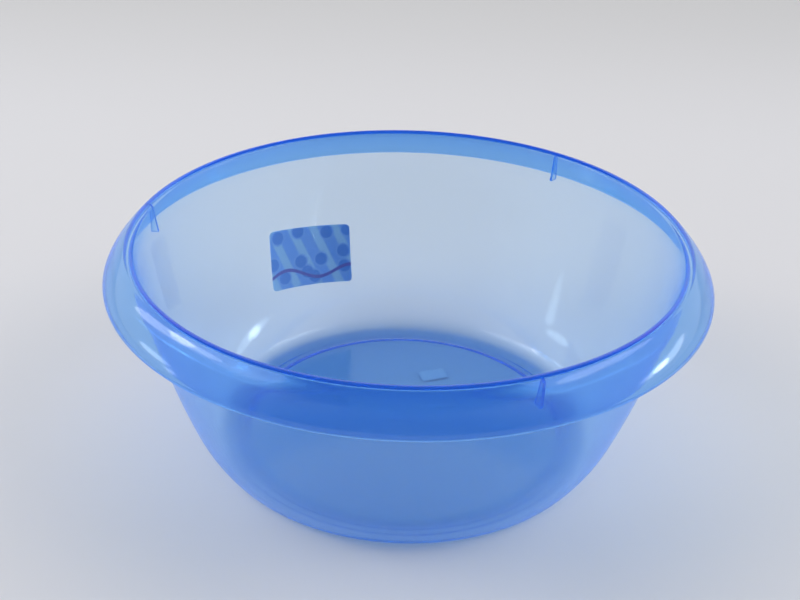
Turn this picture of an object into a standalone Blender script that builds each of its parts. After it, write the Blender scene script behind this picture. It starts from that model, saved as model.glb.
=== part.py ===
# A round see-through plastic bowl with a turned-down rim, standing on its foot ring at z = 0.
# The bowl is one turned moulding with three stacking ribs under its rim. A film label is on the
# outside of the wall, and a small paper tag is under the base. Azimuths run from +Y towards +X.
import math

import bmesh
import bpy
import numpy as np
from mathutils import Matrix, Vector

# Whole bowl: the mouth lies inside the rim by RIM_REACH, and the base inside the mouth by WALL_FLARE
OVERALL_DIAMETER = 0.329
HEIGHT = 0.1265
RIM_REACH = 0.01715
WALL_FLARE = 0.04445
MOUTH_RADIUS = OVERALL_DIAMETER / 2 - RIM_REACH
BASE_FLAT_RADIUS = MOUTH_RADIUS - WALL_FLARE
ROUND_STEPS = 72

# Wall, as leans from the vertical and the radii of its outer face. It is thinner than the heel and
# the rim, and grows to the crest's thickness over the last WALL_BLEND of its height.
WALL = 0.0013
HEEL_WALL = 0.0020
RIM_WALL = 0.0020
WALL_BLEND = 0.0120
HEEL_RADIUS = 0.0126
HEEL_TOP_LEAN = math.radians(35.6)
LOWER_WALL_RADIUS = 0.0888
LOWER_WALL_TOP_LEAN = math.radians(20.3)
WALL_TOP_LEAN = math.radians(9.3)
HEEL_STEPS = 5
LOWER_WALL_STEPS = 3
UPPER_WALL_STEPS = 6
THIRD_SHARE = 1 / 3

# Rim: a tight bend at the crest, where the moulding is thickest, a slope that thins to RIM_WALL over
# the first CREST_BLEND of its reach, and a short upright skirt with a full-round edge
CREST_BEND = 0.0007
CREST_WALL = 0.0025
CREST_BLEND = 0.0050
CREST_END_HEADING = math.radians(135)
FLANGE_DROP = 0.0200
SKIRT_LENGTH = 0.0007
FLANGE_START_SHARE = 0.35
FLANGE_END_SHARE = 0.20
CREST_RISING_STEPS = 4
CREST_FALLING_STEPS = 2
FLANGE_STEPS = 6
EDGE_STEPS = 4

# Base: a raised disc inside a foot ring
UNDERSIDE_RISE = 0.0010
FOOT_SETBACK = 0.0059
FOOT_WIDTH = 0.0040
FOOT_OUTER_RUN = 0.0004
FOOT_INNER_RUN = 0.0035
DISC_RISE = 0.0020
FLOOR_THICKNESS = 0.0024
FLOOR_STEP_LEAN = math.radians(3.2)
GATE_RADIUS = 0.0050
GATE_DEPTH = 0.0005
GATE_DRAFT = 0.0004
GATE_NUB_RADIUS = 0.0014
GATE_NUB_LENGTH = 0.0003

# Stacking ribs: their lower edges rest on the crest of the next bowl
STACK_PITCH = 0.0179
RIB_REACH = 0.0015
RIB_THICKNESS = 0.0016
RIB_CORNER = 0.0010
RIB_CORNER_STEPS = 3
RIB_AZIMUTHS = (math.radians(-78.5), math.radians(37.7), math.radians(156.8))

# Film label on the outside of the wall
FILM_GAP = 0.0003
LABEL_WIDTH = 0.0570
LABEL_LENGTH = 0.0385
LABEL_CORNER = 0.0028
LABEL_THICKNESS = 0.00015
LABEL_HEIGHT = 0.0510
LABEL_AZIMUTH = math.radians(-29.7)
LABEL_TILT = math.radians(-5.0)
LABEL_COLUMNS = 12
CORNER_STEPS = 4

# Paper tag under the base disc, with one long edge hanging free
TAG_WIDTH = 0.0170
TAG_LENGTH = 0.0100
TAG_CORNER = 0.0006
TAG_THICKNESS = 0.00015
TAG_FROM_DISC_EDGE = 0.0355
TAG_AZIMUTH = math.radians(18.8)
TAG_TURN = math.radians(20.4)
TAG_SAG_SHARE = 0.5
TAG_ROWS = 6

SMOOTH_ANGLE = math.radians(32)
MERGE_DISTANCE = 0.00001
HALF_TURN = math.pi
QUARTER_TURN = math.pi / 2


# Paths. A path is a list of (point, heading), with points (radius, height) in the half plane of the
# turning axis, and a heading of zero for straight up and a quarter turn for straight outwards.

def left_of(heading):
    return Vector((-math.cos(heading), math.sin(heading)))


def ahead_of(heading):
    return Vector((math.sin(heading), math.cos(heading)))


def headings_between(start, end, steps):
    return [start + (end - start) * step / steps for step in range(steps + 1)]


def arc_left(centre, radius, start, end, steps):
    return [(centre - radius * left_of(h), h) for h in headings_between(start, end, steps)]


def arc_right(centre, radius, start, end, steps):
    return [(centre + radius * left_of(h), h) for h in headings_between(start, end, steps)]


def sweep(start, end, start_share, end_share, steps):
    """A smooth curve between two path points, whose handles are shares of the distance between them."""
    (first, first_heading), (last, last_heading) = start, end
    span = (last - first).length
    handle_a = first + start_share * span * ahead_of(first_heading)
    handle_b = last - end_share * span * ahead_of(last_heading)
    path = []
    for step in range(steps + 1):
        t = step / steps
        s = 1 - t
        point = s**3 * first + 3 * s * s * t * handle_a + 3 * s * t * t * handle_b + t**3 * last
        slope = s * s * (handle_a - first) + 2 * s * t * (handle_b - handle_a) + t * t * (last - handle_b)
        heading = math.atan2(slope.x, slope.y) % (2 * HALF_TURN)
        path.append((point, heading))
    return path


def shifted_left(path, distance):
    return [(point + distance * left_of(heading), heading) for point, heading in path]


def points_of(path):
    return [point for point, _ in path]


# Sections of the bowl

def crest_centre():
    radius = MOUTH_RADIUS + (CREST_BEND + CREST_WALL) * math.cos(WALL_TOP_LEAN)
    return Vector((radius, HEIGHT - CREST_BEND - CREST_WALL))


def wall_line():
    """The wall's outer face before the crest's extra thickness is added to its top."""
    heel_centre = Vector((BASE_FLAT_RADIUS, UNDERSIDE_RISE + HEEL_RADIUS))
    heel = arc_left(heel_centre, HEEL_RADIUS, QUARTER_TURN, HEEL_TOP_LEAN, HEEL_STEPS)
    lower_centre = heel[-1][0] + LOWER_WALL_RADIUS * left_of(HEEL_TOP_LEAN)
    lower = arc_left(
        lower_centre, LOWER_WALL_RADIUS, HEEL_TOP_LEAN, LOWER_WALL_TOP_LEAN, LOWER_WALL_STEPS
    )
    line_radius = CREST_BEND + CREST_WALL - RIM_WALL
    top = (crest_centre() + line_radius * left_of(WALL_TOP_LEAN), WALL_TOP_LEAN)
    upper = sweep(lower[-1], top, THIRD_SHARE, THIRD_SHARE, UPPER_WALL_STEPS)
    return heel + lower[1:] + upper[1:]


def outer_wall():
    """The wall's outer face, from the flat under the base up to the bend of the crest."""
    path = []
    line = wall_line()
    top = line[-1][0].y
    for point, heading in line:
        extra = float(np.interp(point.y, (top - WALL_BLEND, top), (0, CREST_WALL - RIM_WALL)))
        path.append((point - extra * left_of(heading), heading))
    return path


def inner_wall():
    """The wall's inner face. It starts a little way up the heel, at the step of the floor."""
    heel_centre = Vector((BASE_FLAT_RADIUS, UNDERSIDE_RISE + HEEL_RADIUS))
    path = []
    headings = headings_between(QUARTER_TURN - FLOOR_STEP_LEAN, HEEL_TOP_LEAN, HEEL_STEPS)
    for step, heading in enumerate(headings):
        thickness = HEEL_WALL + (WALL - HEEL_WALL) * step / HEEL_STEPS
        path.append((heel_centre - (HEEL_RADIUS - thickness) * left_of(heading), heading))
    line = wall_line()
    top = line[-1][0].y
    for point, heading in line[HEEL_STEPS + 1 :]:
        thickness = float(np.interp(point.y, (top - WALL_BLEND, top), (WALL, RIM_WALL)))
        path.append((point + thickness * left_of(heading), heading))
    return path


def crest(radius):
    """The crest's bend. One of its points is its highest, where its heading is a quarter turn."""
    rising = arc_right(crest_centre(), radius, WALL_TOP_LEAN, QUARTER_TURN, CREST_RISING_STEPS)
    falling = arc_right(crest_centre(), radius, QUARTER_TURN, CREST_END_HEADING, CREST_FALLING_STEPS)
    return rising + falling[1:]


def flange_face():
    """The flange's upper face, from the crest's bend down to the full-round edge of its skirt."""
    edge_height = HEIGHT - FLANGE_DROP + RIM_WALL / 2
    skirt_end = (Vector((OVERALL_DIAMETER / 2, edge_height)), HALF_TURN)
    skirt_start = (skirt_end[0] + Vector((0, SKIRT_LENGTH)), HALF_TURN)
    start = crest(CREST_BEND + CREST_WALL)[-1]
    slope = sweep(start, skirt_start, FLANGE_START_SHARE, FLANGE_END_SHARE, FLANGE_STEPS)
    return slope + [skirt_end]


def under_flange():
    """The flange's inner face, from the crest's bend down to the full-round edge."""
    face = flange_face()
    start = face[0][0].x
    path = []
    for point, heading in face:
        thickness = float(np.interp(point.x, (start, start + CREST_BLEND), (CREST_WALL, RIM_WALL)))
        path.append((point - thickness * left_of(heading), heading))
    return path


def flange_edge():
    centre = Vector((OVERALL_DIAMETER / 2 - RIM_WALL / 2, HEIGHT - FLANGE_DROP + RIM_WALL / 2))
    return arc_right(centre, RIM_WALL / 2, HALF_TURN, 2 * HALF_TURN, EDGE_STEPS)


def foot_radii():
    """The foot ring's outer and inner radius, and the radius of the raised disc inside it."""
    outer = BASE_FLAT_RADIUS - FOOT_SETBACK
    inner = outer - FOOT_WIDTH
    return outer, inner, inner - FOOT_INNER_RUN


def floor_top():
    """The floor inside the bowl, from the axis outwards to its step at the heel."""
    _, foot_inner, disc_edge = foot_radii()
    return [
        Vector((0, DISC_RISE + FLOOR_THICKNESS)),
        Vector((disc_edge, DISC_RISE + FLOOR_THICKNESS)),
        Vector((foot_inner + FLOOR_THICKNESS / 2, UNDERSIDE_RISE + FLOOR_THICKNESS)),
        Vector((BASE_FLAT_RADIUS, UNDERSIDE_RISE + FLOOR_THICKNESS)),
    ]


def underside():
    """The underside of the base, from the heel inwards to the gate mark on the axis."""
    foot_outer, foot_inner, disc_edge = foot_radii()
    recess = DISC_RISE + GATE_DEPTH
    nub_end = recess - GATE_NUB_LENGTH
    return [
        Vector((foot_outer + FOOT_OUTER_RUN, UNDERSIDE_RISE)),
        Vector((foot_outer, 0)),
        Vector((foot_inner, 0)),
        Vector((disc_edge, DISC_RISE)),
        Vector((GATE_RADIUS, DISC_RISE)),
        Vector((GATE_RADIUS - GATE_DRAFT, recess)),
        Vector((GATE_NUB_RADIUS, recess)),
        Vector((GATE_NUB_RADIUS, nub_end)),
        Vector((0, nub_end)),
    ]


def bowl_section():
    """The bowl's whole section: up the inside, over the rim, and down the outside to the axis."""
    return (
        floor_top()
        + points_of(inner_wall())
        + points_of(crest(CREST_BEND + CREST_WALL))[1:]
        + points_of(flange_face())[1:]
        + points_of(flange_edge())[1:-1]
        + points_of(under_flange())[::-1]
        + points_of(crest(CREST_BEND))[-2:0:-1]
        + points_of(outer_wall())[::-1]
        + underside()
    )


# Blender objects

def new_collection(name, hidden=False):
    collection = bpy.data.collections.new(name)
    collection.hide_render = hidden
    bpy.context.scene.collection.children.link(collection)
    return collection


def new_object(name, data, collection, material=None):
    obj = bpy.data.objects.new(name, data)
    collection.objects.link(obj)
    if material:
        data.materials.append(material)
    return obj


def plastic(name, colour, roughness, transmission=0.0):
    material = bpy.data.materials.new(name)
    material.use_nodes = True
    shader = material.node_tree.nodes["Principled BSDF"]
    shader.inputs["Base Color"].default_value = (*colour, 1)
    shader.inputs["Roughness"].default_value = roughness
    shader.inputs["Metallic"].default_value = 0
    shader.inputs["Transmission Weight"].default_value = transmission
    return material


def apply_modifiers(obj):
    bpy.context.view_layer.update()
    graph = bpy.context.evaluated_depsgraph_get()
    mesh = bpy.data.meshes.new_from_object(obj.evaluated_get(graph))
    obj.modifiers.clear()
    obj.data = mesh
    mesh.shade_smooth()
    mesh.set_sharp_from_angle(angle=SMOOTH_ANGLE)


def turned(name, outline, collection, material):
    """A turned solid from an outline that runs down its outer side and ends on the axis."""
    mesh = bpy.data.meshes.new(name)
    edges = [(i, i + 1) for i in range(len(outline) - 1)]
    mesh.from_pydata([(point.x, 0, point.y) for point in outline], edges, [])
    obj = new_object(name, mesh, collection, material)
    screw = obj.modifiers.new("turn", "SCREW")
    screw.axis = "Z"
    screw.steps = ROUND_STEPS
    screw.render_steps = ROUND_STEPS
    screw.use_merge_vertices = True
    screw.merge_threshold = MERGE_DISTANCE
    return obj


def rib_outline():
    """A rib's plate in the half plane. Its inner and upper edges run in the middle of the moulding."""
    low = HEIGHT - STACK_PITCH
    reach = crest_centre().x + RIB_REACH
    wall_middle = points_of(shifted_left(outer_wall(), WALL / 2))
    rim_middle = points_of(crest(CREST_BEND + CREST_WALL / 2))[1:]
    rim_middle += points_of(shifted_left(flange_face(), -RIM_WALL / 2))[1:]
    low_radius = np.interp(low, [p.y for p in wall_middle], [p.x for p in wall_middle])
    reach_height = np.interp(reach, [p.x for p in rim_middle], [p.y for p in rim_middle])
    corner = Vector((reach - RIB_CORNER, low + RIB_CORNER))
    rounded = arc_right(corner, RIB_CORNER, HALF_TURN, HALF_TURN + QUARTER_TURN, RIB_CORNER_STEPS)
    return (
        [Vector((low_radius, low))]
        + [point for point in wall_middle if point.y > low]
        + [point for point in rim_middle if point.x < reach]
        + [Vector((reach, reach_height))]
        + points_of(rounded)
    )


def rib(name, azimuth, collection):
    """One rib as a closed mesh, stood upright in its half plane."""
    outline = rib_outline()
    curve = bpy.data.curves.new(name, "CURVE")
    curve.dimensions = "2D"
    curve.fill_mode = "BOTH"
    curve.extrude = RIB_THICKNESS / 2
    spline = curve.splines.new("POLY")
    spline.points.add(len(outline) - 1)
    for spline_point, point in zip(spline.points, outline):
        spline_point.co = (point.x, point.y, 0, 1)
    spline.use_cyclic_u = True
    guide = new_object(name + "_outline", curve, collection)
    bpy.context.view_layer.update()
    graph = bpy.context.evaluated_depsgraph_get()
    mesh = bpy.data.meshes.new_from_object(guide.evaluated_get(graph))
    bpy.data.objects.remove(guide)
    bm = bmesh.new()
    bm.from_mesh(mesh)
    bmesh.ops.remove_doubles(bm, verts=bm.verts, dist=MERGE_DISTANCE)
    bmesh.ops.recalc_face_normals(bm, faces=bm.faces)
    bm.to_mesh(mesh)
    bm.free()
    obj = new_object(name, mesh, collection)
    outwards = Vector((math.sin(azimuth), math.cos(azimuth), 0))
    upwards = Vector((0, 0, 1))
    obj.matrix_world = Matrix((outwards, upwards, outwards.cross(upwards))).transposed().to_4x4()
    obj.hide_render = True
    obj.display_type = "WIRE"
    return obj


def make_bowl(collection, cutters, material):
    bowl = turned("bowl", bowl_section(), collection, material)
    for number, azimuth in enumerate(RIB_AZIMUTHS, start=1):
        join = bowl.modifiers.new(f"rib_{number}", "BOOLEAN")
        join.operation = "UNION"
        join.solver = "EXACT"
        join.object = rib(f"rib_{number}", azimuth, cutters)
    apply_modifiers(bowl)
    return bowl


def rounded_sheet(width, length, corner):
    """A flat sheet with round corners, about the origin."""
    bm = bmesh.new()
    bmesh.ops.create_grid(bm, x_segments=1, y_segments=1, size=1)
    bmesh.ops.scale(bm, vec=(width / 2, length / 2, 1), verts=bm.verts)
    bmesh.ops.bevel(
        bm, geom=bm.verts[:], offset=corner, segments=CORNER_STEPS, profile=0.5, affect="VERTICES"
    )
    return bm


def score(bm, axis, places):
    """Cuts a sheet square to an axis at each place, so that it can bend there."""
    for place in places:
        geometry = bm.verts[:] + bm.edges[:] + bm.faces[:]
        bmesh.ops.bisect_plane(bm, geom=geometry, plane_co=axis * place, plane_no=axis)


def between_ends(length, count):
    return [length * (number / count - 1 / 2) for number in range(1, count)]


def sheet_object(name, bm, thickness, collection, material):
    """The sheet as an object, with its thickness on the side away from its faces."""
    mesh = bpy.data.meshes.new(name)
    bm.to_mesh(mesh)
    bm.free()
    obj = new_object(name, mesh, collection, material)
    shell = obj.modifiers.new("thickness", "SOLIDIFY")
    shell.thickness = thickness
    shell.offset = -1
    apply_modifiers(obj)
    return obj


def make_label(collection, material):
    """The film label, rolled on to the wall's outer face. It bends where the wall's outline bends."""
    wall = outer_wall()
    heights = [point.y for point, _ in wall]
    radii = [point.x for point, _ in wall]
    leans = [heading for _, heading in wall]
    travel = np.concatenate([[0], np.cumsum(np.hypot(np.diff(radii), np.diff(heights)))])
    middle = np.interp(LABEL_HEIGHT, heights, travel)
    bm = rounded_sheet(LABEL_WIDTH, LABEL_LENGTH, LABEL_CORNER)
    score(bm, Vector((1, 0, 0)), between_ends(LABEL_WIDTH, LABEL_COLUMNS))
    bmesh.ops.rotate(bm, verts=bm.verts, matrix=Matrix.Rotation(LABEL_TILT, 3, "Z"))
    score(bm, Vector((0, 1, 0)), travel - middle)
    for vert in bm.verts:
        along = middle + vert.co.y
        radius = np.interp(along, travel, radii)
        height = np.interp(along, travel, heights)
        lean = np.interp(along, travel, leans)
        azimuth = LABEL_AZIMUTH + vert.co.x / radius
        radius += FILM_GAP / math.cos(lean)
        vert.co = (radius * math.sin(azimuth), radius * math.cos(azimuth), height)
    return sheet_object("wall_label", bm, LABEL_THICKNESS, collection, material)


def make_tag(collection, material):
    """The paper tag, just under the base disc. The long edge away from +Y hangs down a little."""
    top = DISC_RISE - FILM_GAP
    sag = TAG_SAG_SHARE * (top - TAG_THICKNESS)
    _, _, disc_edge = foot_radii()
    bm = rounded_sheet(TAG_WIDTH, TAG_LENGTH, TAG_CORNER)
    score(bm, Vector((0, 1, 0)), between_ends(TAG_LENGTH, TAG_ROWS))
    for vert in bm.verts:
        fall = 0.5 - vert.co.y / TAG_LENGTH
        vert.co.z = top - sag * fall**3
    bmesh.ops.rotate(bm, verts=bm.verts, matrix=Matrix.Rotation(TAG_TURN, 3, "Z"))
    outwards = Vector((math.sin(TAG_AZIMUTH), math.cos(TAG_AZIMUTH), 0))
    place = outwards * (disc_edge - TAG_FROM_DISC_EDGE)
    bmesh.ops.translate(bm, vec=place, verts=bm.verts)
    return sheet_object("base_tag", bm, TAG_THICKNESS, collection, material)


def main():
    for obj in list(bpy.data.objects):
        bpy.data.objects.remove(obj)
    parts = new_collection("plastic_bowl")
    cutters = new_collection("cutters", hidden=True)
    tinted = plastic("tinted_polypropylene", (0.045, 0.24, 0.84), 0.12, transmission=0.9)
    film = plastic("printed_film", (0.20, 0.38, 0.76), 0.35)
    paper = plastic("paper", (0.72, 0.74, 0.78), 0.8)
    make_bowl(parts, cutters, tinted)
    make_label(parts, film)
    make_tag(parts, paper)


main()
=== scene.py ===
import math

import bmesh
import bpy
import numpy as np
from mathutils import Matrix, Quaternion, Vector


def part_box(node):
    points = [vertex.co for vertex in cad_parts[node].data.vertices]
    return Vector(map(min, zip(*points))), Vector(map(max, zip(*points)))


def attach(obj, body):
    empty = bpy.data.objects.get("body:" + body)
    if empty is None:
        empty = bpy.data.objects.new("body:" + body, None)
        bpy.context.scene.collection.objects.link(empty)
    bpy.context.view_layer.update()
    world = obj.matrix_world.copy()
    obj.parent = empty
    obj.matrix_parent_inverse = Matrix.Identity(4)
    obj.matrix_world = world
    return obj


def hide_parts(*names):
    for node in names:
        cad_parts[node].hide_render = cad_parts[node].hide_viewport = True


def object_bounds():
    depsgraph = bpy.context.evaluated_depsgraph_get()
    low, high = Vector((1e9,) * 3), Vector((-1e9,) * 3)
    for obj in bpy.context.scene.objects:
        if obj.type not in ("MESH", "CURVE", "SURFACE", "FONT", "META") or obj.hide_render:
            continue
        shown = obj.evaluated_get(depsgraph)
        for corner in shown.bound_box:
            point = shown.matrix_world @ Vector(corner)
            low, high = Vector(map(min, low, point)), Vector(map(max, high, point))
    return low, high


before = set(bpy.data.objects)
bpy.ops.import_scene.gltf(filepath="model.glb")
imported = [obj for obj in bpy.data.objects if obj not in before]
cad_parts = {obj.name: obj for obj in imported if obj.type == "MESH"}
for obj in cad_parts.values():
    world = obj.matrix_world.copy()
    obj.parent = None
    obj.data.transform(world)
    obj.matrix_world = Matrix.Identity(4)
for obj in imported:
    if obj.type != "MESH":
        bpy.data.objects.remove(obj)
cad_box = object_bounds()

# The bowl. One injection moulding of polypropylene, tinted blue in the mass and left clear enough
# to see through: floor, foot ring, wall, crest and turned-down rim, with three ribs under the rim
# that hold stacked bowls apart. It is turned from one section, as the mould is.

# Everything is in metres and seen in the half plane of the turning axis: a path is a list of
# (point, heading), with points (radius, height), and a heading of zero for straight up.
OVERALL_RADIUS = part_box("bowl")[1].y
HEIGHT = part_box("bowl")[1].z
RIM_REACH = 0.01715
WALL_FLARE = 0.04445
WALL = 0.0013
HEEL_WALL = 0.0020
RIM_WALL = 0.0020
WALL_BLEND = 0.0120
MOUTH_RADIUS = OVERALL_RADIUS - RIM_REACH
BASE_FLAT_RADIUS = MOUTH_RADIUS - WALL_FLARE
ROUND_STEPS = 288

HEEL_RADIUS = 0.0126
HEEL_TOP_LEAN = math.radians(35.6)
LOWER_WALL_RADIUS = 0.0888
LOWER_WALL_TOP_LEAN = math.radians(20.3)
WALL_TOP_LEAN = math.radians(9.3)
HEEL_STEPS = 14
LOWER_WALL_STEPS = 8
UPPER_WALL_STEPS = 20
WALL_SHARE = 1 / 3

CREST_BEND = 0.0007
CREST_WALL = 0.0025
CREST_BLEND = 0.0050
CREST_END_HEADING = math.radians(135)
FLANGE_DROP = 0.0200
SKIRT_LENGTH = 0.0007
FLANGE_START_SHARE = 0.35
FLANGE_END_SHARE = 0.20
CREST_RISING_STEPS = 10
CREST_FALLING_STEPS = 6
FLANGE_STEPS = 16
EDGE_STEPS = 8

UNDERSIDE_RISE = 0.0010
FOOT_SETBACK = 0.0059
FOOT_WIDTH = 0.0040
FOOT_OUTER_RUN = 0.0004
FOOT_INNER_RUN = 0.0035
DISC_RISE = 0.0020
FLOOR_THICKNESS = 0.0024
FLOOR_STEP_LEAN = math.radians(3.2)
GATE_RADIUS = 0.0050
GATE_DEPTH = 0.0005
GATE_DRAFT = 0.0004
GATE_NUB_RADIUS = 0.0014
GATE_NUB_LENGTH = 0.0003
FLOOR_FILLET = 0.0012
FOOT_FILLET = 0.0003
FILLET_STEPS = 4

STACK_PITCH = 0.0179
RIB_REACH = 0.0015
RIB_THICKNESS = 0.0016
RIB_CORNER = 0.0010
RIB_CORNER_STEPS = 6
RIB_AZIMUTHS = (-78.5, 37.7, 156.8)

QUARTER_TURN = math.pi / 2
HALF_TURN = math.pi
CREASE = math.radians(32)
MERGE_DISTANCE = 0.000005


def left_of(heading):
    return Vector((-math.cos(heading), math.sin(heading)))


def arc(centre, radius, start, end, steps, side):
    """An arc about a centre, on its left with side -1 or on its right with side 1."""
    headings = [start + (end - start) * step / steps for step in range(steps + 1)]
    return [(centre + side * radius * left_of(h), h) for h in headings]


def sweep(start, end, start_share, end_share, steps):
    """A smooth curve between two path points, whose handles are shares of the distance between them."""
    (first, first_heading), (last, last_heading) = start, end
    span = (last - first).length
    handle_a = first + start_share * span * Vector((math.sin(first_heading), math.cos(first_heading)))
    handle_b = last - end_share * span * Vector((math.sin(last_heading), math.cos(last_heading)))
    path = []
    for step in range(steps + 1):
        t = step / steps
        s = 1 - t
        point = s**3 * first + 3 * s * s * t * handle_a + 3 * s * t * t * handle_b + t**3 * last
        slope = s * s * (handle_a - first) + 2 * s * t * (handle_b - handle_a) + t * t * (last - handle_b)
        path.append((point, math.atan2(slope.x, slope.y) % (2 * HALF_TURN)))
    return path


def shifted_left(path, distance):
    return [(point + distance * left_of(heading), heading) for point, heading in path]


def points_of(path):
    return [point for point, _ in path]


def filleted(points, radius, steps):
    """The same open outline with each corner but its ends rounded."""
    rounded = [points[0]]
    for before, corner, after in zip(points, points[1:], points[2:]):
        back = (before - corner).normalized()
        ahead = (after - corner).normalized()
        half = back.angle(ahead) / 2
        cut = min(radius / math.tan(half), (before - corner).length / 2, (after - corner).length / 2)
        start = corner + cut * back
        end = corner + cut * ahead
        for step in range(steps + 1):
            t = step / steps
            rounded.append((1 - t) ** 2 * start + 2 * t * (1 - t) * corner + t * t * end)
    return rounded + [points[-1]]


CREST_CENTRE = Vector((
    MOUTH_RADIUS + (CREST_BEND + CREST_WALL) * math.cos(WALL_TOP_LEAN), HEIGHT - CREST_BEND - CREST_WALL
))
HEEL_CENTRE = Vector((BASE_FLAT_RADIUS, UNDERSIDE_RISE + HEEL_RADIUS))
FOOT_OUTER = BASE_FLAT_RADIUS - FOOT_SETBACK
FOOT_INNER = FOOT_OUTER - FOOT_WIDTH
DISC_EDGE = FOOT_INNER - FOOT_INNER_RUN


def wall_line():
    """The wall's outer face before the crest's extra thickness is added to its top."""
    heel = arc(HEEL_CENTRE, HEEL_RADIUS, QUARTER_TURN, HEEL_TOP_LEAN, HEEL_STEPS, -1)
    lower_centre = heel[-1][0] + LOWER_WALL_RADIUS * left_of(HEEL_TOP_LEAN)
    lower = arc(
        lower_centre, LOWER_WALL_RADIUS, HEEL_TOP_LEAN, LOWER_WALL_TOP_LEAN, LOWER_WALL_STEPS, -1
    )
    line_radius = CREST_BEND + CREST_WALL - RIM_WALL
    top = (CREST_CENTRE + line_radius * left_of(WALL_TOP_LEAN), WALL_TOP_LEAN)
    upper = sweep(lower[-1], top, WALL_SHARE, WALL_SHARE, UPPER_WALL_STEPS)
    return heel + lower[1:] + upper[1:]


def outer_wall():
    path = []
    line = wall_line()
    top = line[-1][0].y
    for point, heading in line:
        extra = float(np.interp(point.y, (top - WALL_BLEND, top), (0, CREST_WALL - RIM_WALL)))
        path.append((point - extra * left_of(heading), heading))
    return path


def inner_wall():
    """The wall's inner face. The wall thins out up the heel, and grows again just under the rim."""
    start = QUARTER_TURN - FLOOR_STEP_LEAN
    path = []
    for step in range(HEEL_STEPS + 1):
        heading = start + (HEEL_TOP_LEAN - start) * step / HEEL_STEPS
        thickness = HEEL_WALL + (WALL - HEEL_WALL) * step / HEEL_STEPS
        path.append((HEEL_CENTRE - (HEEL_RADIUS - thickness) * left_of(heading), heading))
    line = wall_line()
    top = line[-1][0].y
    for point, heading in line[HEEL_STEPS + 1 :]:
        thickness = float(np.interp(point.y, (top - WALL_BLEND, top), (WALL, RIM_WALL)))
        path.append((point + thickness * left_of(heading), heading))
    return path


def crest(radius):
    rising = arc(CREST_CENTRE, radius, WALL_TOP_LEAN, QUARTER_TURN, CREST_RISING_STEPS, 1)
    falling = arc(CREST_CENTRE, radius, QUARTER_TURN, CREST_END_HEADING, CREST_FALLING_STEPS, 1)
    return rising + falling[1:]


def flange_face():
    skirt_end = (Vector((OVERALL_RADIUS, HEIGHT - FLANGE_DROP + RIM_WALL / 2)), HALF_TURN)
    skirt_start = (skirt_end[0] + Vector((0, SKIRT_LENGTH)), HALF_TURN)
    start = crest(CREST_BEND + CREST_WALL)[-1]
    slope = sweep(start, skirt_start, FLANGE_START_SHARE, FLANGE_END_SHARE, FLANGE_STEPS)
    return slope + [skirt_end]


def under_flange():
    """The flange's inner face. The rim is thickest at the crest and thins down the flange."""
    face = flange_face()
    start = face[0][0].x
    path = []
    for point, heading in face:
        thickness = float(np.interp(point.x, (start, start + CREST_BLEND), (CREST_WALL, RIM_WALL)))
        path.append((point - thickness * left_of(heading), heading))
    return path


def flange_edge():
    centre = Vector((OVERALL_RADIUS - RIM_WALL / 2, HEIGHT - FLANGE_DROP + RIM_WALL / 2))
    return arc(centre, RIM_WALL / 2, HALF_TURN, 2 * HALF_TURN, EDGE_STEPS, 1)


def floor_top():
    corners = [
        Vector((0, DISC_RISE + FLOOR_THICKNESS)),
        Vector((DISC_EDGE, DISC_RISE + FLOOR_THICKNESS)),
        Vector((FOOT_INNER + FLOOR_THICKNESS / 2, UNDERSIDE_RISE + FLOOR_THICKNESS)),
        Vector((BASE_FLAT_RADIUS, UNDERSIDE_RISE + FLOOR_THICKNESS)),
    ]
    return filleted(corners, FLOOR_FILLET, FILLET_STEPS)


def underside():
    recess = DISC_RISE + GATE_DEPTH
    nub_end = recess - GATE_NUB_LENGTH
    corners = [
        Vector((BASE_FLAT_RADIUS, UNDERSIDE_RISE)),
        Vector((FOOT_OUTER + FOOT_OUTER_RUN, UNDERSIDE_RISE)),
        Vector((FOOT_OUTER, 0)),
        Vector((FOOT_INNER, 0)),
        Vector((DISC_EDGE, DISC_RISE)),
        Vector((GATE_RADIUS, DISC_RISE)),
        Vector((GATE_RADIUS - GATE_DRAFT, recess)),
        Vector((GATE_NUB_RADIUS, recess)),
        Vector((GATE_NUB_RADIUS, nub_end)),
        Vector((0, nub_end)),
    ]
    return filleted(corners, FOOT_FILLET, FILLET_STEPS)


def bowl_section():
    """The whole section: up the inside, over the rim, and down the outside to the axis."""
    return (
        floor_top()
        + points_of(inner_wall())
        + points_of(crest(CREST_BEND + CREST_WALL))[1:]
        + points_of(flange_face())[1:]
        + points_of(flange_edge())[1:-1]
        + points_of(under_flange())[::-1]
        + points_of(crest(CREST_BEND))[-2:0:-1]
        + points_of(outer_wall())[::-1]
        + underside()[1:]
    )


def rib_outline():
    """A rib's plate. Its inner and upper edges run in the middle of the moulding."""
    low = HEIGHT - STACK_PITCH
    reach = CREST_CENTRE.x + RIB_REACH
    wall_middle = points_of(shifted_left(outer_wall(), WALL / 2))
    rim_middle = points_of(crest(CREST_BEND + CREST_WALL / 2))[1:]
    rim_middle += points_of(shifted_left(flange_face(), -RIM_WALL / 2))[1:]
    low_radius = np.interp(low, [p.y for p in wall_middle], [p.x for p in wall_middle])
    reach_height = np.interp(reach, [p.x for p in rim_middle], [p.y for p in rim_middle])
    corner = Vector((reach - RIB_CORNER, low + RIB_CORNER))
    return (
        [Vector((low_radius, low))]
        + [point for point in wall_middle if point.y > low]
        + [point for point in rim_middle if point.x < reach]
        + [Vector((reach, reach_height))]
        + points_of(arc(corner, RIB_CORNER, HALF_TURN, HALF_TURN + QUARTER_TURN, RIB_CORNER_STEPS, 1))
    )


def new_object(name, mesh):
    obj = bpy.data.objects.new(name, mesh)
    bpy.context.scene.collection.objects.link(obj)
    return obj


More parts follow.
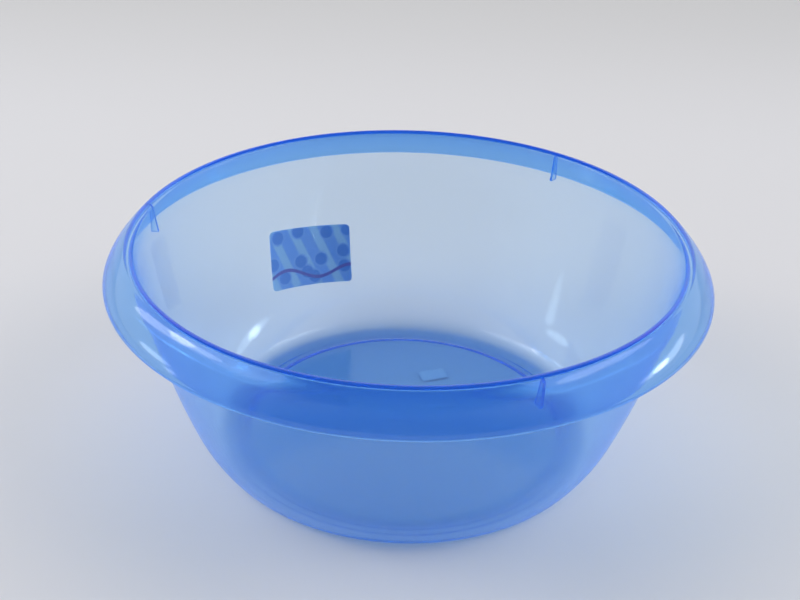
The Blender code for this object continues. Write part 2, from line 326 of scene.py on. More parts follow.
def add_node(tree, kind, inputs=None, **settings):
    """Adds a node, sets its properties, and sets or links its inputs, by name or by number."""
    node = tree.nodes.new(kind)
    for name, value in settings.items():
        setattr(node, name, value)
    for key, value in (inputs or {}).items():
        for source in value if isinstance(value, list) else [value]:
            if isinstance(source, bpy.types.NodeSocket):
                tree.links.new(source, node.inputs[key])
            else:
                node.inputs[key].default_value = source
    return node


def linear(hex_code):
    """A colour written in sRGB hex, as linear red, green and blue with an alpha of 1."""
    levels = [int(hex_code[i : i + 2], 16) / 255 for i in (1, 3, 5)]
    return (*[c / 12.92 if c <= 0.04045 else ((c + 0.055) / 1.055) ** 2.4 for c in levels], 1)


# Tinted polypropylene, injection moulded in a polished mould. The tint is in the mass, so edges and
# steep walls look deeper than a wall seen square on, and the plastic is a little milky. Flow marks
# run up the wall from the gate, the surface swells a little where the moulding cooled, and the floor
# is duller than the wall. Light that a face holds inside the plastic glows in the milk.
TINT = "#70DAFC"
TINT_DENSITY = 222
LAMP_SHARE = "#EEF2F7"
LAMP_SHARE_GRAZING = "#D6DADF"
MILK = "#64ACFF"
MILK_SHARE = 0.06
MILK_GRAZING = 0.40
MILK_STEEPNESS = 3
MILK_TRAPPED = 0.50
MILK_SENT_ON_SHARE = 0.50
TRAPPED_FACING = 0.26
FACE_TINT = "#FFFFFF"
RIM_TINT = "#BCDFFF"
RIM_TINT_START = 0.1480
RIM_TINT_FULL = 0.1520
PLASTIC_IOR = 1.49
GLOSS_LOW = 0.045
GLOSS_HIGH = 0.10
FLOOR_DULLNESS = 0.05
DULL_BELOW = 0.0052
DULL_BLEND = 0.0010
SWELL_LENGTH = 0.035
SWELL_HEIGHT = 0.00008
FLOW_MARKS_ROUND = 150
FLOW_MARK_LENGTH = 0.09
FLOW_MARK_HEIGHT = 0.000012

polypropylene = bpy.data.materials.new("tinted polypropylene")
polypropylene.use_nodes = True
tree = polypropylene.node_tree
tree.nodes.clear()
place = add_node(tree, "ShaderNodeTexCoord").outputs["Object"]
axes = add_node(tree, "ShaderNodeSeparateXYZ", {0: place}).outputs
azimuth = add_node(tree, "ShaderNodeMath", {0: axes["Y"], 1: axes["X"]}, operation="ARCTAN2").outputs[0]
around = add_node(
    tree, "ShaderNodeMath", {0: azimuth, 1: FLOW_MARKS_ROUND / (2 * HALF_TURN)}, operation="MULTIPLY"
).outputs[0]
radius = add_node(
    tree,
    "ShaderNodeVectorMath",
    {0: add_node(tree, "ShaderNodeCombineXYZ", {"X": axes["X"], "Y": axes["Y"]}).outputs[0]},
    operation="LENGTH",
).outputs["Value"]
run = add_node(tree, "ShaderNodeMath", {0: radius, 1: axes["Z"]}, operation="ADD").outputs[0]
along = add_node(
    tree, "ShaderNodeMath", {0: run, 1: 1 / FLOW_MARK_LENGTH}, operation="MULTIPLY"
).outputs[0]
flow = add_node(tree, "ShaderNodeCombineXYZ", {"X": around, "Y": along}).outputs[0]
marks = add_node(
    tree, "ShaderNodeTexNoise", {"Vector": flow, "Scale": 1, "Detail": 2}, noise_dimensions="2D"
).outputs[0]
swell = add_node(
    tree, "ShaderNodeTexNoise", {"Vector": place, "Scale": 1 / SWELL_LENGTH, "Detail": 1}
).outputs[0]
swollen = add_node(
    tree, "ShaderNodeBump", {"Height": swell, "Distance": SWELL_HEIGHT}
).outputs[0]
relief = add_node(
    tree, "ShaderNodeBump", {"Height": marks, "Distance": FLOW_MARK_HEIGHT, "Normal": swollen}
).outputs[0]
wall_gloss = add_node(
    tree, "ShaderNodeMapRange", {"Value": marks, "To Min": GLOSS_LOW, "To Max": GLOSS_HIGH}
).outputs[0]
dullness = add_node(
    tree,
    "ShaderNodeMapRange",
    {
        "Value": axes["Z"],
        "From Min": DULL_BELOW,
        "From Max": DULL_BELOW + DULL_BLEND,
        "To Min": FLOOR_DULLNESS,
        "To Max": 0,
    },
).outputs[0]
gloss = add_node(tree, "ShaderNodeMath", {0: wall_gloss, 1: dullness}, operation="ADD").outputs[0]
on_rim = add_node(
    tree, "ShaderNodeMapRange", {"Value": radius, "From Min": RIM_TINT_START, "From Max": RIM_TINT_FULL}
).outputs[0]
face_tint = add_node(
    tree,
    "ShaderNodeMix",
    {"Factor": on_rim, "A": linear(FACE_TINT), "B": linear(RIM_TINT)},
    data_type="RGBA",
).outputs["Result"]
glass = add_node(
    tree,
    "ShaderNodeBsdfPrincipled",
    {
        "Base Color": face_tint,
        "Roughness": gloss,
        "IOR": PLASTIC_IOR,
        "Transmission Weight": 1,
        "Normal": relief,
    },
).outputs[0]
sent_back = add_node(tree, "ShaderNodeBsdfDiffuse", {"Color": linear(MILK), "Normal": relief}).outputs[0]
sent_on = add_node(tree, "ShaderNodeBsdfTranslucent", {"Color": linear(MILK), "Normal": relief}).outputs[0]
milk = add_node(
    tree, "ShaderNodeMixShader", {0: MILK_SENT_ON_SHARE, 1: sent_back, 2: sent_on}
).outputs[0]
grazing = add_node(tree, "ShaderNodeLayerWeight").outputs["Facing"]
steep = add_node(tree, "ShaderNodeMath", {0: grazing, 1: MILK_STEEPNESS}, operation="POWER").outputs[0]
milky = add_node(
    tree, "ShaderNodeMapRange", {"Value": steep, "To Min": MILK_SHARE, "To Max": MILK_GRAZING}
).outputs[0]
from_inside = add_node(tree, "ShaderNodeNewGeometry").outputs["Backfacing"]
slanting = add_node(
    tree, "ShaderNodeMath", {0: grazing, 1: TRAPPED_FACING}, operation="GREATER_THAN"
).outputs[0]
trapped = add_node(tree, "ShaderNodeMath", {0: from_inside, 1: slanting}, operation="MULTIPLY").outputs[0]
held = add_node(tree, "ShaderNodeMath", {0: trapped, 1: MILK_TRAPPED}, operation="MULTIPLY").outputs[0]
cloud = add_node(tree, "ShaderNodeMath", {0: milky, 1: held}, operation="MAXIMUM").outputs[0]
clouded = add_node(tree, "ShaderNodeMixShader", {0: cloud, 1: glass, 2: milk}).outputs[0]

# Lamps shine straight through, so that the table under the bowl is lit as through clear blue plastic
let_through = add_node(
    tree,
    "ShaderNodeMix",
    {"Factor": grazing, "A": linear(LAMP_SHARE), "B": linear(LAMP_SHARE_GRAZING)},
    data_type="RGBA",
).outputs["Result"]
clear = add_node(tree, "ShaderNodeBsdfTransparent", {"Color": let_through}).outputs[0]
for_lamps = add_node(tree, "ShaderNodeLightPath").outputs["Is Shadow Ray"]
surface = add_node(tree, "ShaderNodeMixShader", {0: for_lamps, 1: clouded, 2: clear}).outputs[0]
mass = add_node(
    tree, "ShaderNodeVolumeAbsorption", {"Color": linear(TINT), "Density": TINT_DENSITY}
).outputs[0]
add_node(tree, "ShaderNodeOutputMaterial", {"Surface": surface, "Volume": mass})

section = bpy.data.meshes.new("bowl")
section_points = bowl_section()
section.from_pydata(
    [(p.x, p.y, 0) for p in section_points], [(i, i + 1) for i in range(len(section_points) - 1)], []
)
bowl = new_object("bowl_moulding", section)
outline = bpy.data.meshes.new("rib")
outline_points = rib_outline()
outline.from_pydata([(p.x, p.y, 0) for p in outline_points], [], [range(len(outline_points))])
rib_plate = new_object("rib_plate", outline)

turning = bpy.data.node_groups.new("turned bowl with ribs", "GeometryNodeTree")
turning.is_modifier = True
turning.interface.new_socket("Geometry", in_out="OUTPUT", socket_type="NodeSocketGeometry")
turned_inputs = {
    "Section": ("Geometry", None),
    "Round Steps": ("Int", ROUND_STEPS),
    "Turning Radius": ("Float", OVERALL_RADIUS),
    "Weld": ("Float", MERGE_DISTANCE),
    "Rib Plate": ("Object", rib_plate),
    "Rib Thickness": ("Float", RIB_THICKNESS),
    **{f"Rib Azimuth {n}": ("Float", math.radians(a)) for n, a in enumerate(RIB_AZIMUTHS, 1)},
    "Crease": ("Float", CREASE),
    "Plastic": ("Material", polypropylene),
}
identifiers = {}
for name, (kind, _) in turned_inputs.items():
    socket = turning.interface.new_socket(name, in_out="INPUT", socket_type="NodeSocket" + kind)
    identifiers[name] = socket.identifier
given = add_node(turning, "NodeGroupInput").outputs

# The section is laid flat, with its radius along X, and carried round a circle as its profile
profile = add_node(turning, "GeometryNodeMeshToCurve", {"Mesh": given["Section"]}).outputs[0]
back = add_node(
    turning, "ShaderNodeMath", {0: given["Turning Radius"], 1: -1}, operation="MULTIPLY"
).outputs[0]
set_back = add_node(turning, "ShaderNodeCombineXYZ", {"X": back}).outputs[0]
profile = add_node(
    turning, "GeometryNodeTransform", {"Geometry": profile, "Translation": set_back, "Scale": (1, -1, 1)}
).outputs[0]
circle = add_node(
    turning,
    "GeometryNodeCurvePrimitiveCircle",
    {"Resolution": given["Round Steps"], "Radius": given["Turning Radius"]},
).outputs[0]
turned = add_node(turning, "GeometryNodeCurveToMesh", {"Curve": circle, "Profile Curve": profile}).outputs[0]
turned = add_node(
    turning, "GeometryNodeMergeByDistance", {"Geometry": turned, "Distance": given["Weld"]}
).outputs[0]

# A rib is its plate made thick, stood on edge and turned to each azimuth
plate = add_node(turning, "GeometryNodeObjectInfo", {"Object": given["Rib Plate"]}).outputs["Geometry"]
raised = add_node(
    turning,
    "GeometryNodeExtrudeMesh",
    {"Mesh": plate, "Offset Scale": given["Rib Thickness"], "Individual": False},
).outputs[0]
underneath = add_node(turning, "GeometryNodeFlipFaces", {"Mesh": plate}).outputs[0]
rib = add_node(turning, "GeometryNodeJoinGeometry", {"Geometry": [raised, underneath]}).outputs[0]
rib = add_node(
    turning, "GeometryNodeMergeByDistance", {"Geometry": rib, "Distance": given["Weld"]}
).outputs[0]
half = add_node(
    turning, "ShaderNodeMath", {0: given["Rib Thickness"], 1: 2}, operation="DIVIDE"
).outputs[0]
centred = add_node(turning, "ShaderNodeCombineXYZ", {"Y": half}).outputs[0]
rib = add_node(
    turning,
    "GeometryNodeTransform",
    {"Geometry": rib, "Translation": centred, "Rotation": (QUARTER_TURN, 0, 0)},
).outputs[0]
turns = add_node(turning, "GeometryNodeIndexSwitch", data_type="FLOAT")
turns.index_switch_items.new()
turning.links.new(add_node(turning, "GeometryNodeInputIndex").outputs[0], turns.inputs["Index"])
for number in range(1, len(RIB_AZIMUTHS) + 1):
    turning.links.new(given[f"Rib Azimuth {number}"], turns.inputs[number])
turn = add_node(
    turning, "ShaderNodeMath", {0: QUARTER_TURN, 1: turns.outputs[0]}, operation="SUBTRACT"
).outputs[0]
heading = add_node(turning, "ShaderNodeCombineXYZ", {"Z": turn}).outputs[0]
stations = add_node(turning, "GeometryNodePoints", {"Count": len(RIB_AZIMUTHS)}).outputs[0]
ribs = add_node(
    turning, "GeometryNodeInstanceOnPoints", {"Points": stations, "Instance": rib, "Rotation": heading}
).outputs[0]
ribs = add_node(turning, "GeometryNodeRealizeInstances", {"Geometry": ribs}).outputs[0]
joined = add_node(
    turning, "GeometryNodeMeshBoolean", {"Mesh 2": [turned, ribs]}, operation="UNION", solver="EXACT"
).outputs[0]
smooth = add_node(turning, "GeometryNodeSetShadeSmooth", {"Geometry": joined}).outputs[0]
fold = add_node(turning, "GeometryNodeInputMeshEdgeAngle").outputs[0]
sharp = add_node(
    turning, "FunctionNodeCompare", {"A": fold, "B": given["Crease"]}, operation="GREATER_THAN"
).outputs[0]
creased = add_node(
    turning,
    "GeometryNodeSetShadeSmooth",
    {"Geometry": smooth, "Selection": sharp, "Shade Smooth": False},
    domain="EDGE",
).outputs[0]
realized = add_node(turning, "GeometryNodeRealizeInstances", {"Geometry": creased}).outputs[0]
finished = add_node(
    turning, "GeometryNodeSetMaterial", {"Geometry": realized, "Material": given["Plastic"]}
).outputs[0]
add_node(turning, "NodeGroupOutput", {0: finished})

modifier = bowl.modifiers.new("turned", "NODES")
modifier.node_group = turning
for name, (_, value) in turned_inputs.items():
    if value is not None:
        modifier[identifiers[name]] = value
bpy.context.view_layer.update()
graph = bpy.context.evaluated_depsgraph_get()
moulding = bpy.data.meshes.new_from_object(bowl.evaluated_get(graph))
bowl.modifiers.clear()
bowl.data = moulding
bpy.data.objects.remove(rib_plate)
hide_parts("bowl")
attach(bowl, "root")

# The film label. Printed plastic film, glued to the outside of the wall and seen through it. It
# lies flat on the wall, a little crooked, and carries a plain pattern of bands and bubbles.
FILM_WIDTH = 0.0570
FILM_LENGTH = 0.0385
FILM_CORNER = 0.0028
FILM_THICKNESS = 0.00015
FILM_OFF_WALL = 0.0001
FILM_HEIGHT = 0.0510
FILM_AZIMUTH = math.radians(-29.7)
FILM_TILT = math.radians(-5.0)
FILM_COLUMNS = 76
FILM_ROWS = 44
CORNER_ROWS = 6


def rounded_rows(width, length, corner, rows, corner_rows):
    """Heights and half widths of the rows of points that fill a sheet with round corners."""
    turns = [QUARTER_TURN * step / corner_rows for step in range(corner_rows + 1)]
    ends = [
        (length / 2 - corner * (1 - math.sin(t)), width / 2 - corner * (1 - math.cos(t))) for t in turns
    ]
    straight = [
        ((length / 2 - corner) * (2 * step / rows - 1), width / 2) for step in range(1, rows)
    ]
    return [(-y, half) for y, half in reversed(ends)] + straight + ends


def sheet_mesh(name, rows, columns, length, width):
    """A flat sheet as a mesh, with a UV map that runs from 0 to 1 over its length and width."""
    mesh = bpy.data.meshes.new(name)
    verts = [(half * (2 * c / columns - 1), y, 0) for y, half in rows for c in range(columns + 1)]
    line = columns + 1
    faces = [
        (r * line + c, r * line + c + 1, (r + 1) * line + c + 1, (r + 1) * line + c)
        for r in range(len(rows) - 1)
        for c in range(columns)
    ]
    mesh.from_pydata(verts, [], faces)
    layer = mesh.uv_layers.new(name="sheet")
    for loop in mesh.loops:
        x, y, _ = verts[loop.vertex_index]
        layer.data[loop.index].uv = (x / width + 0.5, y / length + 0.5)
    return mesh


def thickened(obj, thickness):
    """Gives a sheet its thickness, behind its faces."""
    shell = obj.modifiers.new("thickness", "SOLIDIFY")
    shell.thickness = thickness
    shell.offset = -1
    graph = bpy.context.evaluated_depsgraph_get()
    mesh = bpy.data.meshes.new_from_object(obj.evaluated_get(graph))
    obj.modifiers.clear()
    obj.data = mesh
    mesh.shade_smooth()
    mesh.set_sharp_from_angle(angle=CREASE)


# Printed polypropylene film with a gloss face that light glows through. The print has soft edges, and
# the bands and bubbles are in blues a little paler and a little deeper than the ground. The print's
# sizes are in millimetres.
FILM_GROUND = "#BADCFF"
FILM_BAND = "#DDF3FF"
FILM_BUBBLE = "#9CC6F4"
FILM_RING = "#C4E2FF"
FILM_WAVE = "#A999D7"
FILM_IOR = 1.5
FILM_GLOSS_LOW = 0.25
FILM_GLOSS_HIGH = 0.40
FILM_GLOW_SHARE = 0.45
FILM_BAND_PITCH = 15.0
FILM_BAND_LEAN = 0.45
FILM_BAND_STEEPNESS = 1.6
FILM_BAND_BIAS = 0.1
FILM_BUBBLE_PITCH = 15.0
FILM_BUBBLE_SCATTER = 0.75
FILM_BUBBLE_RADIUS = 5.2
FILM_RING_WIDTH = 1.1
FILM_WAVE_RISE = 3.5
FILM_WAVE_LENGTH = 46.0
FILM_WAVE_HEIGHT = 8.25
FILM_WAVE_WIDTH = 1.1
FILM_SOFT_EDGE = 0.5
FILM_RIPPLE_LENGTH = 6.0
FILM_RIPPLE = 0.00004
MILLIMETRES = 1000

film = bpy.data.materials.new("printed film")
film.use_nodes = True
tree = film.node_tree
tree.nodes.clear()

sheet_place = add_node(tree, "ShaderNodeUVMap", uv_map="sheet").outputs[0]
print_place = add_node(
    tree,
    "ShaderNodeVectorMath",
    {0: sheet_place, 1: (FILM_WIDTH * MILLIMETRES, FILM_LENGTH * MILLIMETRES, 1)},
    operation="MULTIPLY",
).outputs[0]
across, up, _ = add_node(tree, "ShaderNodeSeparateXYZ", {0: print_place}).outputs
lean = add_node(
    tree, "ShaderNodeMath", {0: up, 1: FILM_BAND_LEAN, 2: across}, operation="MULTIPLY_ADD"
).outputs[0]
phase = add_node(
    tree, "ShaderNodeMath", {0: lean, 1: 2 * HALF_TURN / FILM_BAND_PITCH}, operation="MULTIPLY"
).outputs[0]
bands = add_node(tree, "ShaderNodeMath", {0: phase}, operation="SINE").outputs[0]
banded = add_node(
    tree,
    "ShaderNodeMath",
    {0: bands, 1: FILM_BAND_STEEPNESS, 2: FILM_BAND_BIAS},
    operation="MULTIPLY_ADD",
    use_clamp=True,
).outputs[0]
colour = add_node(
    tree,
    "ShaderNodeMix",
    {"Factor": banded, "A": linear(FILM_GROUND), "B": linear(FILM_BAND)},
    data_type="RGBA",
).outputs["Result"]
cells = add_node(
    tree,
    "ShaderNodeTexVoronoi",
    {"Vector": print_place, "Scale": 1 / FILM_BUBBLE_PITCH, "Randomness": FILM_BUBBLE_SCATTER},
    voronoi_dimensions="2D",
).outputs["Distance"]
from_bubble = add_node(
    tree, "ShaderNodeMath", {0: cells, 1: FILM_BUBBLE_PITCH}, operation="MULTIPLY"
).outputs[0]
swing = add_node(
    tree, "ShaderNodeMath", {0: across, 1: 2 * HALF_TURN / FILM_WAVE_LENGTH}, operation="MULTIPLY"
).outputs[0]
wave = add_node(tree, "ShaderNodeMath", {0: swing}, operation="SINE").outputs[0]
wave_line = add_node(
    tree, "ShaderNodeMath", {0: wave, 1: FILM_WAVE_RISE, 2: FILM_WAVE_HEIGHT}, operation="MULTIPLY_ADD"
).outputs[0]
above_wave = add_node(tree, "ShaderNodeMath", {0: up, 1: wave_line}, operation="SUBTRACT").outputs[0]
from_wave = add_node(tree, "ShaderNodeMath", {0: above_wave}, operation="ABSOLUTE").outputs[0]
for distance, edge, ink in (
    (from_bubble, FILM_BUBBLE_RADIUS, FILM_RING),
    (from_bubble, FILM_BUBBLE_RADIUS - FILM_RING_WIDTH, FILM_BUBBLE),
    (from_wave, FILM_WAVE_WIDTH, FILM_WAVE),
):
    share = add_node(
        tree,
        "ShaderNodeMapRange",
        {"Value": distance, "From Min": edge + FILM_SOFT_EDGE / 2, "From Max": edge - FILM_SOFT_EDGE / 2},
    ).outputs[0]
    colour = add_node(
        tree, "ShaderNodeMix", {"Factor": share, "A": colour, "B": linear(ink)}, data_type="RGBA"
    ).outputs["Result"]
ripple = add_node(
    tree,
    "ShaderNodeTexNoise",
    {"Vector": print_place, "Scale": 1 / FILM_RIPPLE_LENGTH, "Detail": 1},
    noise_dimensions="2D",
).outputs[0]
film_relief = add_node(tree, "ShaderNodeBump", {"Height": ripple, "Distance": FILM_RIPPLE}).outputs[0]
worn = add_node(
    tree, "ShaderNodeMapRange", {"Value": ripple, "To Min": FILM_GLOSS_LOW, "To Max": FILM_GLOSS_HIGH}
).outputs[0]
printed_face = add_node(
    tree,
    "ShaderNodeBsdfPrincipled",
    {"Base Color": colour, "Roughness": worn, "IOR": FILM_IOR, "Normal": film_relief},
).outputs[0]
glow = add_node(tree, "ShaderNodeBsdfTranslucent", {"Color": colour, "Normal": film_relief}).outputs[0]
shader = add_node(tree, "ShaderNodeMixShader", {0: FILM_GLOW_SHARE, 1: printed_face, 2: glow}).outputs[0]
add_node(tree, "ShaderNodeOutputMaterial", {"Surface": shader})

wall_path = outer_wall()
wall_heights = [point.y for point, _ in wall_path]
wall_radii = [point.x for point, _ in wall_path]
wall_leans = [lean for _, lean in wall_path]
travel = np.concatenate([[0], np.cumsum(np.hypot(np.diff(wall_radii), np.diff(wall_heights)))])
middle = np.interp(FILM_HEIGHT, wall_heights, travel)
film_mesh = sheet_mesh(
    "wall_film",
    rounded_rows(FILM_WIDTH, FILM_LENGTH, FILM_CORNER, FILM_ROWS, CORNER_ROWS),
    FILM_COLUMNS,
    FILM_LENGTH,
    FILM_WIDTH,
)
for vert in film_mesh.vertices:
    x, y = Matrix.Rotation(FILM_TILT, 2) @ vert.co.xy
    lean = np.interp(middle + y, travel, wall_leans)
    wall_radius = np.interp(middle + y, travel, wall_radii)
    height = np.interp(middle + y, travel, wall_heights) - FILM_OFF_WALL * math.sin(lean)
    turn = FILM_AZIMUTH + x / wall_radius
    wall_radius += FILM_OFF_WALL * math.cos(lean)
    vert.co = (wall_radius * math.sin(turn), wall_radius * math.cos(turn), height)
wall_film = new_object("wall_film", film_mesh)
film_mesh.materials.append(film)
thickened(wall_film, FILM_THICKNESS)

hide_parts("wall_label")
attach(wall_film, "root")

# The paper tag. A small blank label of white paper under the base disc, seen through the floor. Its
# far edge is stuck down, and its near edge has come away and hangs a little.
TAG_WIDTH = 0.0170
TAG_LENGTH = 0.0100
TAG_CORNER = 0.0006
TAG_THICKNESS = 0.00015
TAG_GAP = 0.0003
TAG_FROM_DISC_EDGE = 0.0355
TAG_AZIMUTH = math.radians(18.8)
TAG_TURN = math.radians(20.4)
TAG_SAG_SHARE = 0.5
TAG_COLUMNS = 34
TAG_ROWS = 20
TAG_CORNER_ROWS = 3

# Uncoated paper, a little creased and greyed by wear along its edges
TAG_PAPER = "#F0F0EE"
TAG_WORN = "#CDCFD2"
TAG_ROUGHNESS = 0.85
TAG_IOR = 1.45
TAG_WEAR_WIDTH = 0.0012
TAG_CREASE = 0.00012
TAG_CREASE_LENGTH = 0.0035

paper = bpy.data.materials.new("uncoated paper")
paper.use_nodes = True
tree = paper.node_tree
tree.nodes.clear()
tag_place = add_node(tree, "ShaderNodeUVMap", uv_map="sheet").outputs[0]
tag_x, tag_y, _ = add_node(tree, "ShaderNodeSeparateXYZ", {0: tag_place}).outputs
margins = []
for share, size in ((tag_x, TAG_WIDTH), (tag_y, TAG_LENGTH)):
    from_middle = add_node(tree, "ShaderNodeMath", {0: share, 1: 0.5}, operation="SUBTRACT").outputs[0]
    out = add_node(tree, "ShaderNodeMath", {0: from_middle}, operation="ABSOLUTE").outputs[0]
    margin = add_node(tree, "ShaderNodeMath", {0: 0.5, 1: out}, operation="SUBTRACT").outputs[0]
    margins.append(add_node(tree, "ShaderNodeMath", {0: margin, 1: size}, operation="MULTIPLY").outputs[0])
margin = add_node(tree, "ShaderNodeMath", {0: margins[0], 1: margins[1]}, operation="MINIMUM").outputs[0]
fibres = add_node(
    tree,
    "ShaderNodeTexNoise",
    {"Vector": add_node(tree, "ShaderNodeTexCoord").outputs["Object"], "Scale": 1 / TAG_CREASE_LENGTH},
).outputs[0]
wear = add_node(
    tree, "ShaderNodeMapRange", {"Value": margin, "From Max": TAG_WEAR_WIDTH, "To Min": 1, "To Max": 0}
).outputs[0]
worn_share = add_node(tree, "ShaderNodeMath", {0: wear, 1: fibres}, operation="MULTIPLY").outputs[0]
paper_colour = add_node(
    tree,
    "ShaderNodeMix",
    {"Factor": worn_share, "A": linear(TAG_PAPER), "B": linear(TAG_WORN)},
    data_type="RGBA",
).outputs["Result"]
creased = add_node(tree, "ShaderNodeBump", {"Height": fibres, "Distance": TAG_CREASE}).outputs[0]
shader = add_node(
    tree,
    "ShaderNodeBsdfPrincipled",
    {"Base Color": paper_colour, "Roughness": TAG_ROUGHNESS, "IOR": TAG_IOR, "Normal": creased},
).outputs[0]
add_node(tree, "ShaderNodeOutputMaterial", {"Surface": shader})

tag_mesh = sheet_mesh(
    "paper_tag",
    rounded_rows(TAG_WIDTH, TAG_LENGTH, TAG_CORNER, TAG_ROWS, TAG_CORNER_ROWS),
    TAG_COLUMNS,
    TAG_LENGTH,
    TAG_WIDTH,
)
tag_top = DISC_RISE - TAG_GAP
tag_sag = TAG_SAG_SHARE * (tag_top - TAG_THICKNESS)
tag_radius = DISC_EDGE - TAG_FROM_DISC_EDGE
tag_middle = tag_radius * Vector((math.sin(TAG_AZIMUTH), math.cos(TAG_AZIMUTH)))
for vert in tag_mesh.vertices:
    fall = 0.5 - vert.co.y / TAG_LENGTH
    turned_place = Matrix.Rotation(TAG_TURN, 2) @ vert.co.xy + tag_middle
    vert.co = (*turned_place, tag_top - tag_sag * fall**3)
paper_tag = new_object("paper_tag", tag_mesh)
tag_mesh.materials.append(paper)
thickened(paper_tag, TAG_THICKNESS)

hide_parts("base_tag")
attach(paper_tag, "root")

# The table, lamps and camera. The bowl stands on a sheet of pale paper, with painted shade that greys it a
# little towards the back, in a white tent with softboxes at both sides.
CAMERA_PLACE = Vector((0, -0.587293, 0.415822))
CAMERA_AIM = Vector((-0.004329, 0, 0.084465))
CAMERA_ROLL = 0.028
CAMERA_FOCAL = 1204.286
FRAME_WIDTH = 800
SENSOR_WIDTH = 36

camera_data = bpy.data.cameras.new("camera")
camera_data.sensor_width = SENSOR_WIDTH
camera_data.lens = CAMERA_FOCAL * SENSOR_WIDTH / FRAME_WIDTH
camera = new_object("camera", camera_data)
camera.location = CAMERA_PLACE
aimed = (CAMERA_AIM - CAMERA_PLACE).to_track_quat("-Z", "Y")
camera.rotation_euler = (aimed @ Quaternion((0, 0, 1), CAMERA_ROLL)).to_euler()
bpy.context.scene.camera = camera

TABLE_SIZE = 12
TABLE_DROP = 0.00005
# The paper is one pale grey. Its darker tone towards the back is painted shade, not a colour of the paper
PAPER_NEAR = "#DCDCE0"
PAPER_FAR_PAINTED_SHADE = "#CFCFD1"
PAINTED_SHADE_START = 0.40
PAINTED_SHADE_END = 1.00
table_mesh = bpy.data.meshes.new("table")
bm = bmesh.new()
bmesh.ops.create_grid(bm, x_segments=1, y_segments=1, size=TABLE_SIZE / 2)
bmesh.ops.translate(bm, vec=(0, 0, -TABLE_DROP), verts=bm.verts)
bm.to_mesh(table_mesh)
bm.free()
table = new_object("table", table_mesh)
backdrop = bpy.data.materials.new("pale background paper")
backdrop.use_nodes = True
tree = backdrop.node_tree
tree.nodes.clear()
floor_place = add_node(tree, "ShaderNodeTexCoord").outputs["Object"]
floor_y = add_node(tree, "ShaderNodeSeparateXYZ", {0: floor_place}).outputs["Y"]
# Painted shade: the paper darkens smoothly towards the back
painted_shade_share = add_node(
    tree,
    "ShaderNodeMapRange",
    {"Value": floor_y, "From Min": PAINTED_SHADE_START, "From Max": PAINTED_SHADE_END},
    interpolation_type="SMOOTHSTEP",
).outputs[0]
paper_with_painted_shade = add_node(
    tree,
    "ShaderNodeMix",
    {"Factor": painted_shade_share, "A": linear(PAPER_NEAR), "B": linear(PAPER_FAR_PAINTED_SHADE)},
    data_type="RGBA",
).outputs["Result"]
shader = add_node(tree, "ShaderNodeBsdfDiffuse", {"Color": paper_with_painted_shade}).outputs[0]
add_node(tree, "ShaderNodeOutputMaterial", {"Surface": shader})
table_mesh.materials.append(backdrop)

# A white tent round the table, open overhead from front to back, and dim behind the camera
TENT_WHITE = "#FFFFFF"
TENT_LEVEL = 0.95
GAP_LEVEL = 0.16
GAP_HEIGHTS = (0.60, 0.70)
GAP_SIDES = (0.50, 0.85)
FRONT_SHARE = 0.20
FRONT_REACH = (-0.85, -0.25)
world = bpy.data.worlds.new("studio")
bpy.context.scene.world = world
world.use_nodes = True
tree = world.node_tree
tree.nodes.clear()
direction = add_node(tree, "ShaderNodeTexCoord").outputs["Generated"]
axes = add_node(tree, "ShaderNodeSeparateXYZ", {0: direction}).outputs
sideways = add_node(tree, "ShaderNodeMath", {0: axes["X"]}, operation="ABSOLUTE").outputs[0]
high = add_node(
    tree,
    "ShaderNodeMapRange",
    {"Value": axes["Z"], "From Min": GAP_HEIGHTS[0], "From Max": GAP_HEIGHTS[1]},
    interpolation_type="SMOOTHSTEP",
).outputs[0]
middle_level = add_node(
    tree,
    "ShaderNodeMapRange",
    {
        "Value": sideways,
        "From Min": GAP_SIDES[0],
        "From Max": GAP_SIDES[1],
        "To Min": GAP_LEVEL - TENT_LEVEL,
        "To Max": 0,
    },
    interpolation_type="SMOOTHSTEP",
).outputs[0]
level = add_node(
    tree, "ShaderNodeMath", {0: middle_level, 1: high, 2: TENT_LEVEL}, operation="MULTIPLY_ADD"
).outputs[0]
front = add_node(
    tree,
    "ShaderNodeMapRange",
    {
        "Value": axes["Y"],
        "From Min": FRONT_REACH[0],
        "From Max": FRONT_REACH[1],
        "To Min": FRONT_SHARE,
        "To Max": 1,
    },
    interpolation_type="SMOOTHSTEP",
).outputs[0]
level = add_node(tree, "ShaderNodeMath", {0: level, 1: front}, operation="MULTIPLY").outputs[0]
tent = add_node(tree, "ShaderNodeBackground", {"Color": linear(TENT_WHITE), "Strength": level}).outputs[0]
add_node(tree, "ShaderNodeOutputWorld", {"Surface": tent})

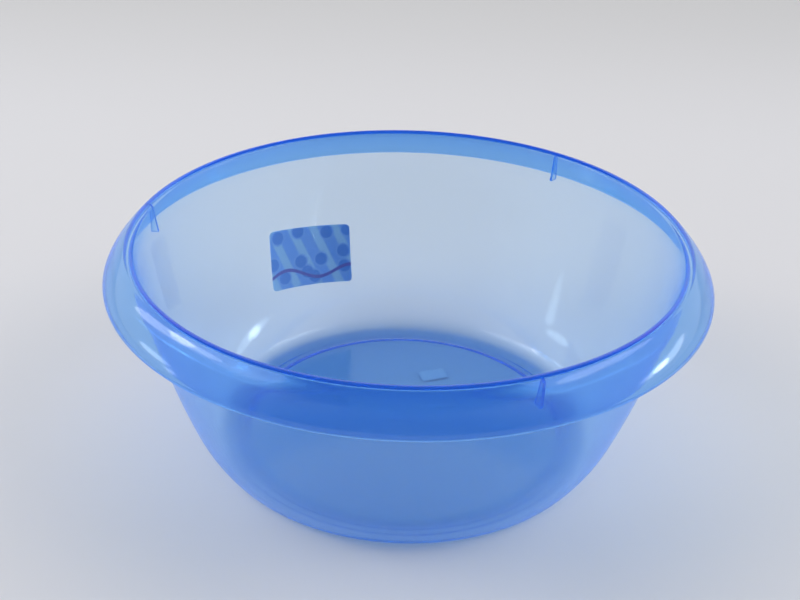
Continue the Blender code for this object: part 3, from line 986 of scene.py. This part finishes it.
# The softboxes face the rim where they show in it, and the fills light the plastic from all sides and
# don't show in its gloss
LAMP_DISTANCE = 3.0
RIM_LEFT = Vector((-0.145, -0.06, 0.12))
RIM_RIGHT = Vector((0.147, -0.07, 0.114))


def softbox(name, faces, azimuth, elevation, width, height, level, roll=0):
    """An oval lamp facing a point, placed and sized in degrees seen from there, with its level in
    times paper white."""
    across, upright = (2 * LAMP_DISTANCE * math.tan(math.radians(a / 2)) for a in (width, height))
    area = math.pi * across * upright / 4
    lamp = bpy.data.lights.new(name, "AREA")
    lamp.shape = "ELLIPSE"
    lamp.size = across
    lamp.size_y = upright
    lamp.energy = level * math.pi * area
    obj = new_object(name, lamp)
    azimuth, elevation, roll = (math.radians(a) for a in (azimuth, elevation, roll))
    flat = math.cos(elevation)
    direction = Vector((math.sin(azimuth) * flat, math.cos(azimuth) * flat, math.sin(elevation)))
    obj.location = faces + direction * LAMP_DISTANCE
    obj.rotation_euler = (direction.to_track_quat("Z", "Y") @ Quaternion((0, 0, 1), roll)).to_euler()
    return obj


softbox("left_strip", RIM_LEFT, -82, 25.5, 44, 3.8, 3.6, 35)
softbox("left_core", RIM_LEFT, -86, 28.5, 12, 3.5, 8.0, 30)
softbox("left_haze", RIM_LEFT, -100, 42, 44, 18, 1.4, 20)
softbox("left_low", RIM_LEFT, -86, 7.5, 18, 5.5, 3.0, 17)
softbox("left_window", RIM_LEFT, -96, 2.2, 6, 7.6, 2.4)
softbox("right_strip", RIM_RIGHT, 94, 35, 40, 5.5, 2.6, -26)
softbox("right_haze", RIM_RIGHT, 100, 45, 40, 20, 0.9, -20)
softbox("right_low", RIM_RIGHT, 81, 8.5, 30, 6, 2.6)
softbox("right_core", RIM_RIGHT, 83.5, 9, 9.5, 5, 9.0)
for name, azimuth, elevation, width, height, level in (
    ("left_fill", -95, 46, 46, 34, 1.8),
    ("right_fill", 95, 46, 46, 34, 1.2),
    ("back_fill", 0, 60, 60, 34, 1.25),
):
    fill = softbox(name, Vector((0, 0, 0)), azimuth, elevation, width, height, level)
    fill.visible_glossy = False
    fill.visible_transmission = False

bpy.context.scene.view_settings.view_transform = "Standard"

low, high = cad_box
